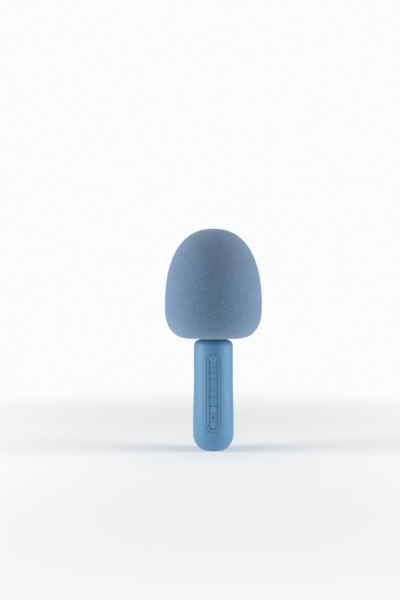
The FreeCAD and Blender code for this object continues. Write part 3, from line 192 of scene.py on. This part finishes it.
def edge_fade(point, foot, mouth):
    """Less relief on the mouth's short inner wall, which lies against the plastic."""
    radius = math.hypot(point[0], point[1])
    return min(1.0, max(0.0, (radius - mouth) / MOUTH_LIP)) if point[2] < foot + FOAM_THICKNESS else 1.0


def foam_mouth_radius():
    """The mouth's radius: the foam's own vertices at its lowest level that are nearest the axis."""
    low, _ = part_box("foam_cover")
    co = np.array([v.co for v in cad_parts["foam_cover"].data.vertices])
    at_foot = co[co[:, 2] < low.z + 0.1 * MM]
    return float(np.hypot(at_foot[:, 0], at_foot[:, 1]).min())


# ---------------------------------------------------------------- materials
FOAM_BLUE = (0.128, 0.24, 0.395)
SHELL_BLUE = (0.112, 0.303, 0.512)
# painted highlight: the paler blue painted on the keys' raised symbols
SYMBOL_HIGHLIGHT_BLUE = (0.25, 0.5, 0.69)
# painted highlight: the paler blue painted along the control strip's raised rim
RIM_HIGHLIGHT_BLUE = (0.2, 0.45, 0.66)
STRIP_WIDTH = 13.4 * MM
STRIP_RIM_WIDTH = 0.9 * MM
RIM_BLUR = 0.15 * MM                # how softly the rim's painted highlight begins
KEY_DOME = (3.8 * MM, 0.3 * MM)     # a key's radius and the rise of its domed face
SYMBOL_HEIGHT = 0.25 * MM


def new_material(name):
    material = bpy.data.materials.new(name)
    material.use_nodes = True
    nodes, links = material.node_tree.nodes, material.node_tree.links
    return material, nodes, links, nodes["Principled BSDF"]


def add(nodes, kind, **settings):
    node = nodes.new(kind)
    for key, value in settings.items():
        if key in node.inputs:
            node.inputs[key].default_value = value
        else:
            setattr(node, key, value)
    return node


def object_point(nodes, links, scale=(1, 1, 1)):
    """Object coordinates, which are row coordinates in metres, stretched by scale."""
    source = add(nodes, "ShaderNodeTexCoord")
    mapping = add(nodes, "ShaderNodeMapping", vector_type="POINT")
    mapping.inputs["Scale"].default_value = scale
    links.new(source.outputs["Object"], mapping.inputs["Vector"])
    return mapping.outputs["Vector"]


def noise_at(nodes, links, point, scale, detail=3.0, rough=0.5):
    node = add(nodes, "ShaderNodeTexNoise", Scale=scale, Detail=detail, Roughness=rough)
    links.new(point, node.inputs["Vector"])
    return node.outputs["Fac"]


def ramp(nodes, links, value, stops):
    """A colour ramp through (place, colour) stops."""
    node = add(nodes, "ShaderNodeValToRGB")
    elements = node.color_ramp.elements
    elements[0].position, elements[0].color = stops[0][0], (*stops[0][1], 1)
    elements[1].position, elements[1].color = stops[-1][0], (*stops[-1][1], 1)
    for place, colour in stops[1:-1]:
        middle = elements.new(place)
        middle.color = (*colour, 1)
    links.new(value, node.inputs["Fac"])
    return node.outputs["Color"]


def stretch(nodes, links, value, low, high):
    """Maps 0 to 1 onto low to high."""
    node = add(nodes, "ShaderNodeMapRange")
    node.inputs["To Min"].default_value = low
    node.inputs["To Max"].default_value = high
    links.new(value, node.inputs["Value"])
    return node.outputs["Result"]


def bump(nodes, links, shader, height, distance, strength):
    """Relief of a depth in metres."""
    node = add(nodes, "ShaderNodeBump", Distance=distance, Strength=strength)
    links.new(height, node.inputs["Height"])
    links.new(node.outputs["Normal"], shader.inputs["Normal"])


def shade(colour, factor):
    return tuple(min(1.0, c * factor) for c in colour)


# How fine each pattern is, in cells to the metre.
PLASTIC_MOTTLE = 90.0
PAINT_MOTTLE = 55.0
PAINT_GRAIN = 3500.0
PAINT_SMUDGE = 130.0
METAL_MARKS = 2200.0
BOARD_TRACKS = 420.0
LENS_HAZE = 1500.0
FOAM_CELLS = 1.0 / (0.62 * MM)
# The greatest depth of each relief.
PAINT_RELIEF = 0.006 * MM
METAL_RELIEF = 0.008 * MM
BOARD_RELIEF = 0.02 * MM
FOAM_RELIEF = 0.22 * MM


def plastic(name, colour, rough=0.5, grain=0.25, depth=0.012, variation=0.05, coat=0.0):
    """Moulded plastic: a faint mottle in its colour and a fine spark-eroded grain, in millimetres."""
    material, nodes, links, shader = new_material(name)
    point = object_point(nodes, links)
    slow = noise_at(nodes, links, point, PLASTIC_MOTTLE, 4.0)
    stops = [(0.3, shade(colour, 1 - variation)), (0.7, shade(colour, 1 + variation))]
    links.new(ramp(nodes, links, slow, stops), shader.inputs["Base Color"])
    fine = noise_at(nodes, links, point, 1000.0 / grain, 2.0)
    links.new(stretch(nodes, links, fine, rough - 0.07, rough + 0.07), shader.inputs["Roughness"])
    bump(nodes, links, shader, fine, depth * MM, 0.6)
    if coat:
        shader.inputs["Coat Weight"].default_value = coat
        shader.inputs["Coat Roughness"].default_value = 0.2
    return material


def soft_touch(name, colour):
    """Soft-touch paint on plastic: matt and velvety, slightly rubbed, with a very fine grain."""
    material, nodes, links, shader = new_material(name)
    point = object_point(nodes, links)
    slow = noise_at(nodes, links, point, PAINT_MOTTLE, 5.0, 0.55)
    stops = [(0.3, shade(colour, 0.965)), (0.55, colour), (0.75, shade(colour, 1.04))]
    links.new(ramp(nodes, links, slow, stops), shader.inputs["Base Color"])
    fine = noise_at(nodes, links, point, PAINT_GRAIN, 2.0)
    smudge = noise_at(nodes, links, point, PAINT_SMUDGE, 3.0, 0.6)
    mixed = add(nodes, "ShaderNodeMath", operation="MULTIPLY")
    links.new(fine, mixed.inputs[0])
    links.new(smudge, mixed.inputs[1])
    links.new(stretch(nodes, links, mixed.outputs[0], 0.4, 0.68), shader.inputs["Roughness"])
    bump(nodes, links, shader, fine, PAINT_RELIEF, 0.7)
    shader.inputs["Sheen Weight"].default_value = 0.12
    shader.inputs["Sheen Roughness"].default_value = 0.5
    shader.inputs["Specular IOR Level"].default_value = 0.45
    return material


def strip_finish():
    """The control strip in the shell's blue, with a painted highlight: its raised rim is painted a
    little paler.
    """
    material = soft_touch("strip_blue", shade(SHELL_BLUE, 1.08))
    nodes, links = material.node_tree.nodes, material.node_tree.links
    low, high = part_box("control_strip")
    radius = STRIP_WIDTH / 2
    parts = add(nodes, "ShaderNodeSeparateXYZ")
    links.new(object_point(nodes, links), parts.inputs["Vector"])
    nearest = add(nodes, "ShaderNodeClamp", Min=low.z + radius, Max=high.z - radius)
    links.new(parts.outputs["Z"], nearest.inputs["Value"])
    beyond = add(nodes, "ShaderNodeMath", operation="SUBTRACT")
    links.new(parts.outputs["Z"], beyond.inputs[0])
    links.new(nearest.outputs["Result"], beyond.inputs[1])
    flat = add(nodes, "ShaderNodeCombineXYZ")
    links.new(parts.outputs["X"], flat.inputs["X"])
    links.new(beyond.outputs["Value"], flat.inputs["Z"])
    off_middle = add(nodes, "ShaderNodeVectorMath", operation="LENGTH")
    links.new(flat.outputs["Vector"], off_middle.inputs[0])
    # painted highlight: the rim's band is mixed towards a paler blue
    rim = radius - STRIP_RIM_WIDTH
    band = (rim - RIM_BLUR, rim + RIM_BLUR)
    paler_where(material, off_middle.outputs["Value"], band, RIM_HIGHLIGHT_BLUE)
    return material


def paler_where(material, value, band, colour):
    """Mixes a colour into a finish where a value rises through a band."""
    nodes, links = material.node_tree.nodes, material.node_tree.links
    shader = nodes["Principled BSDF"]
    share = add(nodes, "ShaderNodeMapRange")
    share.inputs["From Min"].default_value, share.inputs["From Max"].default_value = band
    links.new(value, share.inputs["Value"])
    mix = add(nodes, "ShaderNodeMix", data_type="RGBA")
    links.new(share.outputs["Result"], mix.inputs["Factor"])
    links.new(shader.inputs["Base Color"].links[0].from_socket, mix.inputs["A"])
    mix.inputs["B"].default_value = (*colour, 1)
    links.new(mix.outputs["Result"], shader.inputs["Base Color"])


def key_finish(key):
    """A key in the shell's blue whose raised symbol carries a painted highlight: what stands above the
    domed face is painted paler.
    """
    material = soft_touch(key + "_blue", SHELL_BLUE)
    nodes, links = material.node_tree.nodes, material.node_tree.links
    low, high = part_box(key)
    radius, rise = KEY_DOME
    dome = (radius ** 2 + rise ** 2) / (2 * rise)
    centre = (0, low.y + SYMBOL_HEIGHT + dome, (low.z + high.z) / 2)
    distance = add(nodes, "ShaderNodeVectorMath", operation="DISTANCE")
    distance.inputs[1].default_value = centre
    links.new(object_point(nodes, links), distance.inputs[0])
    # painted highlight: the raised symbol is mixed towards a paler blue
    above = (dome + 0.4 * SYMBOL_HEIGHT, dome + 0.7 * SYMBOL_HEIGHT)
    paler_where(material, distance.outputs["Value"], above, SYMBOL_HIGHLIGHT_BLUE)
    return material


def foam_material(name, colour):
    """Open-cell foam: painted shade darkens the pores between pale strands; wholly matt, with a soft
    fuzz.
    """
    material, nodes, links, shader = new_material(name)
    point = object_point(nodes, links)
    cells = add(nodes, "ShaderNodeTexVoronoi", feature="F1", Scale=FOAM_CELLS, Randomness=1.0)
    links.new(point, cells.inputs["Vector"])
    coarse = add(nodes, "ShaderNodeAttribute", attribute_type="GEOMETRY", attribute_name="pore")
    # painted shade: the fine cells are darker in their middles, where the bump sinks them
    stops = [(0.08, shade(colour, 0.66)), (0.5, colour), (0.85, shade(colour, 1.16))]
    cell_shade = ramp(nodes, links, cells.outputs["Distance"], stops)
    # painted shade: darker where the mesh's open cells sink in
    pore_shade = ramp(nodes, links, coarse.outputs["Fac"], [(0.0, (1, 1, 1)), (1.0, (0.45, 0.48, 0.52))])
    mix = add(nodes, "ShaderNodeMix", data_type="RGBA", blend_type="MULTIPLY")
    mix.inputs["Factor"].default_value = 1.0
    links.new(cell_shade, mix.inputs["A"])
    links.new(pore_shade, mix.inputs["B"])
    fleck = noise_at(nodes, links, point, 1.0 / FLECK_SIZE, 1.0)
    cloud = ramp(nodes, links, fleck, [(0.33, (0.8, 0.81, 0.82)), (0.67, (1.1, 1.1, 1.1))])
    tone = add(nodes, "ShaderNodeMix", data_type="RGBA", blend_type="MULTIPLY")
    tone.inputs["Factor"].default_value = 1.0
    links.new(mix.outputs["Result"], tone.inputs["A"])
    links.new(cloud, tone.inputs["B"])
    links.new(tone.outputs["Result"], shader.inputs["Base Color"])
    bump(nodes, links, shader, cells.outputs["Distance"], FOAM_RELIEF, 0.8)
    shader.inputs["Roughness"].default_value = 0.97
    shader.inputs["Specular IOR Level"].default_value = 0.15
    shader.inputs["Sheen Weight"].default_value = 0.5
    shader.inputs["Sheen Roughness"].default_value = 0.7
    shader.inputs["Sheen Tint"].default_value = (0.78, 0.88, 1.0, 1)
    return material


def metal(name, colour, rough=0.3, stretch_axis=(1, 1, 1), variation=0.06):
    """Metal with fine marks drawn out along one axis."""
    material, nodes, links, shader = new_material(name)
    point = object_point(nodes, links, stretch_axis)
    marks = noise_at(nodes, links, point, METAL_MARKS, 3.0)
    stops = [(0.3, shade(colour, 1 - variation)), (0.7, shade(colour, 1 + variation))]
    links.new(ramp(nodes, links, marks, stops), shader.inputs["Base Color"])
    links.new(stretch(nodes, links, marks, rough - 0.08, rough + 0.1), shader.inputs["Roughness"])
    bump(nodes, links, shader, marks, METAL_RELIEF, 0.5)
    shader.inputs["Metallic"].default_value = 1.0
    return material


def fibre(name, colour, grain=0.4, depth=0.1):
    """Paper pulp, felt or cloth: tangled fibres, matt."""
    material, nodes, links, shader = new_material(name)
    point = object_point(nodes, links)
    tangle = noise_at(nodes, links, point, 1000.0 / grain, 6.0, 0.7)
    stops = [(0.3, shade(colour, 0.75)), (0.7, shade(colour, 1.25))]
    links.new(ramp(nodes, links, tangle, stops), shader.inputs["Base Color"])
    bump(nodes, links, shader, tangle, depth * MM, 0.7)
    shader.inputs["Roughness"].default_value = 0.93
    shader.inputs["Sheen Weight"].default_value = 0.3
    return material


def board(name, colour):
    """A circuit board: solder mask over straight tracks, which show as faint paler lines."""
    material, nodes, links, shader = new_material(name)
    point = object_point(nodes, links)
    tracks = add(nodes, "ShaderNodeTexBrick", Scale=BOARD_TRACKS)
    tracks.inputs["Mortar Size"].default_value = 0.03
    tracks.inputs["Color1"].default_value = (*colour, 1)
    tracks.inputs["Color2"].default_value = (*shade(colour, 0.85), 1)
    tracks.inputs["Mortar"].default_value = (*shade(colour, 1.7), 1)
    turned = add(nodes, "ShaderNodeMapping")
    turned.inputs["Rotation"].default_value = (math.pi / 2, 0, 0)
    links.new(point, turned.inputs["Vector"])
    links.new(turned.outputs["Vector"], tracks.inputs["Vector"])
    links.new(tracks.outputs["Color"], shader.inputs["Base Color"])
    bump(nodes, links, shader, tracks.outputs["Fac"], BOARD_RELIEF, 0.5)
    shader.inputs["Roughness"].default_value = 0.35
    return material


def clear(name, colour):
    """Clear moulded plastic with a slight haze."""
    material, nodes, links, shader = new_material(name)
    point = object_point(nodes, links)
    haze = noise_at(nodes, links, point, LENS_HAZE, 2.0)
    links.new(stretch(nodes, links, haze, 0.12, 0.25), shader.inputs["Roughness"])
    stops = [(0.3, shade(colour, 0.95)), (0.7, colour)]
    links.new(ramp(nodes, links, haze, stops), shader.inputs["Base Color"])
    shader.inputs["Transmission Weight"].default_value = 0.6
    shader.inputs["IOR"].default_value = 1.49
    return material


def dress_frame():
    """Gives every CAD node its finish."""
    shell = soft_touch("soft_touch_blue", SHELL_BLUE)
    base = plastic("base_plastic_blue", SHELL_BLUE, 0.5, 0.4, 0.02)
    black = plastic("moulded_black", (0.022, 0.023, 0.025), 0.5, 0.3, 0.015, 0.1)
    gloss_black = plastic("chip_black", (0.012, 0.012, 0.014), 0.38, 0.2, 0.01, 0.1)
    rubber = plastic("rubber_black", (0.018, 0.018, 0.02), 0.75, 0.3, 0.02, 0.1)
    red = plastic("wire_red", (0.32, 0.02, 0.02), 0.4, 0.6, 0.01, 0.08)
    white = plastic("socket_white", (0.72, 0.69, 0.6), 0.45, 0.3, 0.01)
    lamp = plastic("lamp_yellow", (0.75, 0.72, 0.4), 0.3, 0.2, 0.01)
    wrap = plastic("cell_wrap_green", (0.03, 0.26, 0.17), 0.28, 0.5, 0.01, 0.05, coat=0.4)
    screws = metal("screw_zinc", (0.52, 0.53, 0.55), 0.34)
    cans = metal("bright_can", (0.66, 0.66, 0.67), 0.28)
    stamped = metal("stamped_steel", (0.6, 0.6, 0.62), 0.3, (1, 8, 1))
    zinc = metal("zinc_plate", (0.5, 0.48, 0.42), 0.42)
    winding = metal("copper_winding", (0.72, 0.3, 0.13), 0.35, (1, 1, 30))
    basket = plastic("basket_paint_black", (0.02, 0.02, 0.022), 0.42, 0.5, 0.02, 0.1)
    ferrite = plastic("ferrite_grey", (0.05, 0.05, 0.055), 0.7, 0.5, 0.04, 0.15)
    paper = fibre("cone_paper", (0.028, 0.028, 0.03))
    spider = fibre("spider_cloth", (0.42, 0.3, 0.13), 0.5)
    felt = fibre("felt_black", (0.03, 0.03, 0.03), 0.3, 0.15)
    green = board("board_green", (0.012, 0.115, 0.045))
    finishes = {
        shell: ("front_shell", "rear_shell"),
        strip_finish(): ("control_strip",),
        base: ("head_base",),
        black: (
            "speaker_cage", "baffle", "capsule_cup", "port_tongue", "power_plunger",
            "volume_up_plunger", "volume_down_plunger", "voice_plunger", "music_plunger",
        ),
        gloss_black: ("amplifier_chip", "charging_chip"),
        rubber: ("capsule_boot", "cone_surround", "mic_leads"),
        red: ("speaker_leads", "battery_leads", "charge_leads"),
        white: ("wire_sockets",),
        lamp: ("status_lamp",),
        wrap: ("battery_cell",),
        screws: ("case_screws", "head_screws", "board_screws", "speaker_screws"),
        cans: ("wireless_shield", "capacitors", "key_switches", "mic_capsule"),
        stamped: ("port_shell",),
        zinc: ("speaker_top_plate", "speaker_yoke"),
        winding: ("voice_coil",),
        basket: ("speaker_frame",),
        ferrite: ("speaker_magnet",),
        paper: ("speaker_cone", "dust_cap"),
        spider: ("cone_spider",),
        felt: ("speaker_gasket", "capsule_felt", "battery_pad"),
        green: ("main_board", "wireless_module", "charge_board", "speaker_terminals"),
        clear("light_lens", (0.11, 0.2, 0.3)): ("status_light",),
    }
    for key in ("power_key", "volume_up_key", "volume_down_key", "voice_key", "music_key"):
        finishes[key_finish(key)] = (key,)
    for material, nodes in finishes.items():
        for node in nodes:
            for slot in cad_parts[node].material_slots:
                slot.material = material


# ---------------------------------------------------------------- stage, light and camera
CAMERA_DISTANCE = 0.9
CAMERA_HEIGHT = 0.149
CAMERA_LENS = 54.1          # mm, on a 36 mm sensor
CAMERA_TURN = math.radians(0.85)
FLOOR_RADIUS = 0.62
FADE_START = 0.12           # how far out the floor starts to fade
LIT_POINT = Vector((0, 0, 0.13))


def stage_floor():
    """A pale round floor that fades out into the pale surroundings."""
    bpy.ops.mesh.primitive_circle_add(vertices=96, radius=FLOOR_RADIUS, fill_type="NGON")
    floor = bpy.context.object
    floor.name = "stage_floor"
    material, nodes, links, shader = new_material("stage_floor")
    shader.inputs["Base Color"].default_value = (0.9, 0.905, 0.91, 1)
    shader.inputs["Roughness"].default_value = 0.9
    shader.inputs["Emission Color"].default_value = (1, 1, 1, 1)
    shader.inputs["Emission Strength"].default_value = 0.2
    source = add(nodes, "ShaderNodeTexCoord")
    length = add(nodes, "ShaderNodeVectorMath", operation="LENGTH")
    links.new(source.outputs["Object"], length.inputs[0])
    fade = add(nodes, "ShaderNodeMapRange", interpolation_type="SMOOTHSTEP")
    fade.inputs["From Min"].default_value = FADE_START
    fade.inputs["From Max"].default_value = FLOOR_RADIUS
    fade.inputs["To Min"].default_value = 1.0
    fade.inputs["To Max"].default_value = 0.0
    links.new(length.outputs["Value"], fade.inputs["Value"])
    links.new(fade.outputs["Result"], shader.inputs["Alpha"])
    floor.data.materials.append(material)


def soft_light(name, place, size, power):
    light = bpy.data.lights.new(name, "AREA")
    light.shape = "RECTANGLE"
    light.size, light.size_y = size
    light.energy = power
    lamp = bpy.data.objects.new(name, light)
    lamp.location = place
    lamp.rotation_euler = (LIT_POINT - Vector(place)).to_track_quat("-Z", "Y").to_euler()
    bpy.context.scene.collection.objects.link(lamp)


def surroundings():
    """Pale all round to look at, and dimmer than that as a light."""
    world = bpy.data.worlds.new("studio")
    bpy.context.scene.world = world
    world.use_nodes = True
    nodes, links = world.node_tree.nodes, world.node_tree.links
    background = nodes["Background"]
    background.inputs["Color"].default_value = (0.965, 0.97, 0.975, 1)
    ray = nodes.new("ShaderNodeLightPath")
    strength = nodes.new("ShaderNodeMapRange")
    strength.inputs["To Min"].default_value = 0.23
    strength.inputs["To Max"].default_value = 1.0
    links.new(ray.outputs["Is Camera Ray"], strength.inputs["Value"])
    links.new(strength.outputs["Result"], background.inputs["Strength"])


def lights():
    """Name, place and size in metres, and power in watts."""
    soft_light("left_softbox", (-0.74, -0.14, 0.22), (0.42, 0.9), 6.2)
    soft_light("right_softbox", (0.74, -0.1, 0.22), (0.42, 0.9), 5.6)
    soft_light("top_softbox", (0, 0.1, 1.0), (0.7, 0.5), 1.1)
    soft_light("front_fill", (0.1, -1.3, 0.5), (1.0, 0.8), 0.5)


def camera():
    data = bpy.data.cameras.new("camera")
    data.lens = CAMERA_LENS
    data.sensor_width = 36.0
    cam = bpy.data.objects.new("camera", data)
    cam.location = (0, -CAMERA_DISTANCE, CAMERA_HEIGHT)
    cam.rotation_euler = (math.pi / 2, 0, CAMERA_TURN)
    bpy.context.scene.collection.objects.link(cam)
    bpy.context.scene.camera = cam


# ---------------------------------------------------------------- the scene
dress_frame()
foam = foam_head()
foam.data.materials.append(foam_material("foam_blue", FOAM_BLUE))
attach(foam, "microphone")
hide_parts("foam_cover")

stage_floor()
surroundings()
lights()
camera()
bpy.context.scene.view_settings.view_transform = "Standard"
